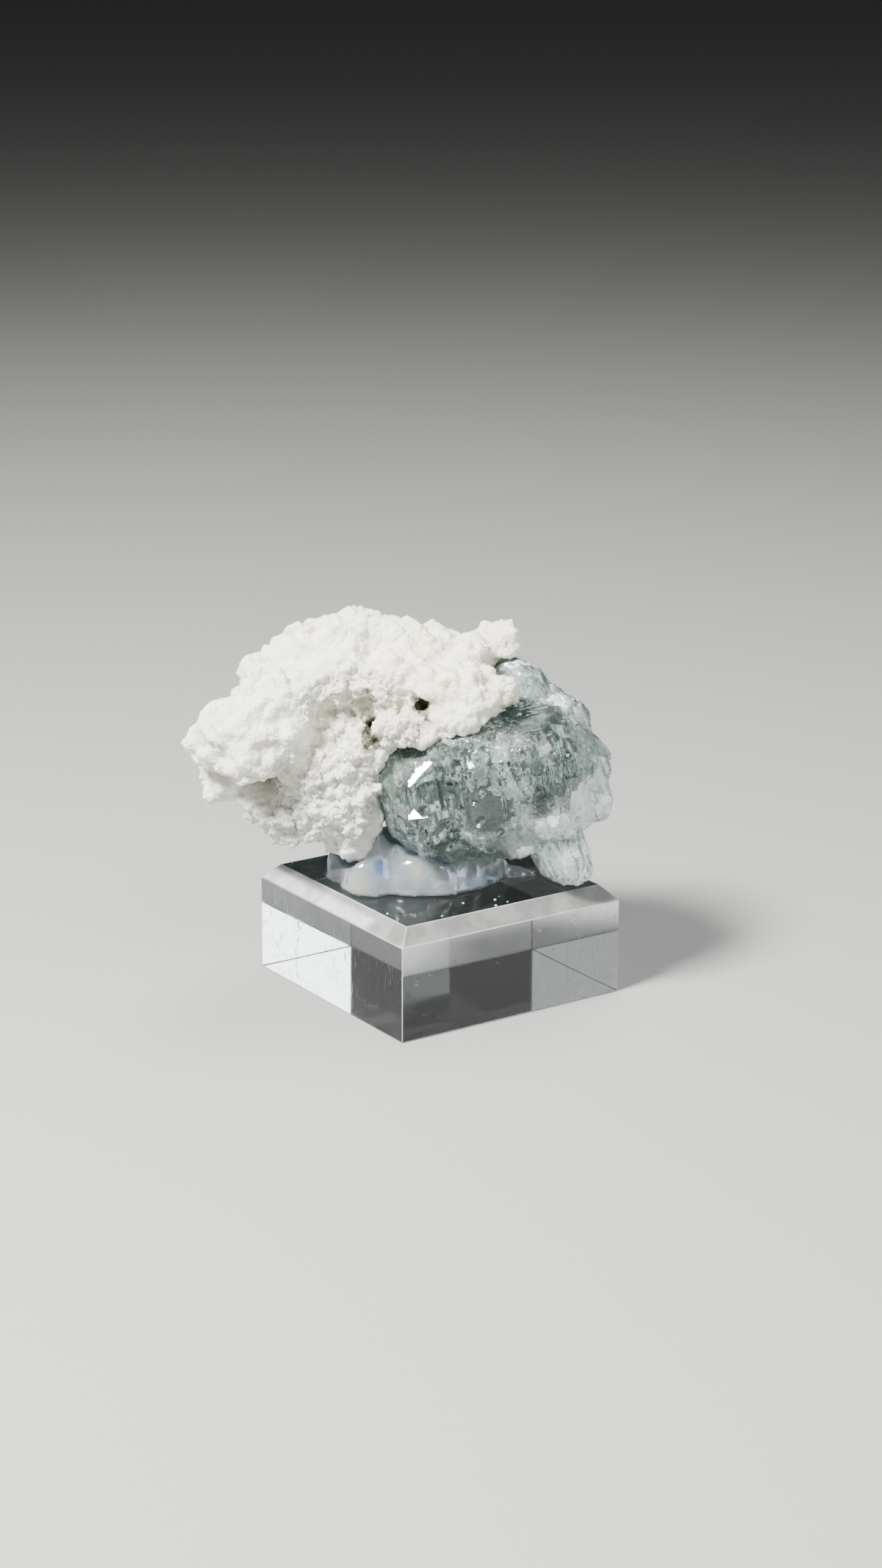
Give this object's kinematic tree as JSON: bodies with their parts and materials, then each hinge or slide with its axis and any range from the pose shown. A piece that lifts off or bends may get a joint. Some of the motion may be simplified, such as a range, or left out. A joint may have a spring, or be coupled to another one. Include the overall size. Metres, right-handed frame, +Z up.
{
  "type": "mineral specimen of aquamarine on albite matrix, on a display block",
  "caption": "Etched pale blue-green crystal grown with a knobbly white crust, glued on a low square clear display block.",
  "frame": {"origin": "centre of the square underside of the acrylic block", "axes": "+Z up; X and Y along the block's sides. The specimen's good side faces between -X and -Y, at 34.3 degrees from -Y towards -X"},
  "size_m": [0.0524, 0.0431, 0.0518],
  "materials": {
    "clear_acrylic": "clear, polished, with dust and fine scratches",
    "clear_glue": "milky, glossy, smooth",
    "albite": "rough, grainy, with fine sparkle",
    "aquamarine": "clear, etched and striated, frosted on its right side"
  },
  "bodies": {
    "root": {"acrylic_block": "clear_acrylic", "mineral_glue": "clear_glue", "albite_matrix": "albite", "aquamarine_crystal": "aquamarine"}
  },
  "joints": []
}
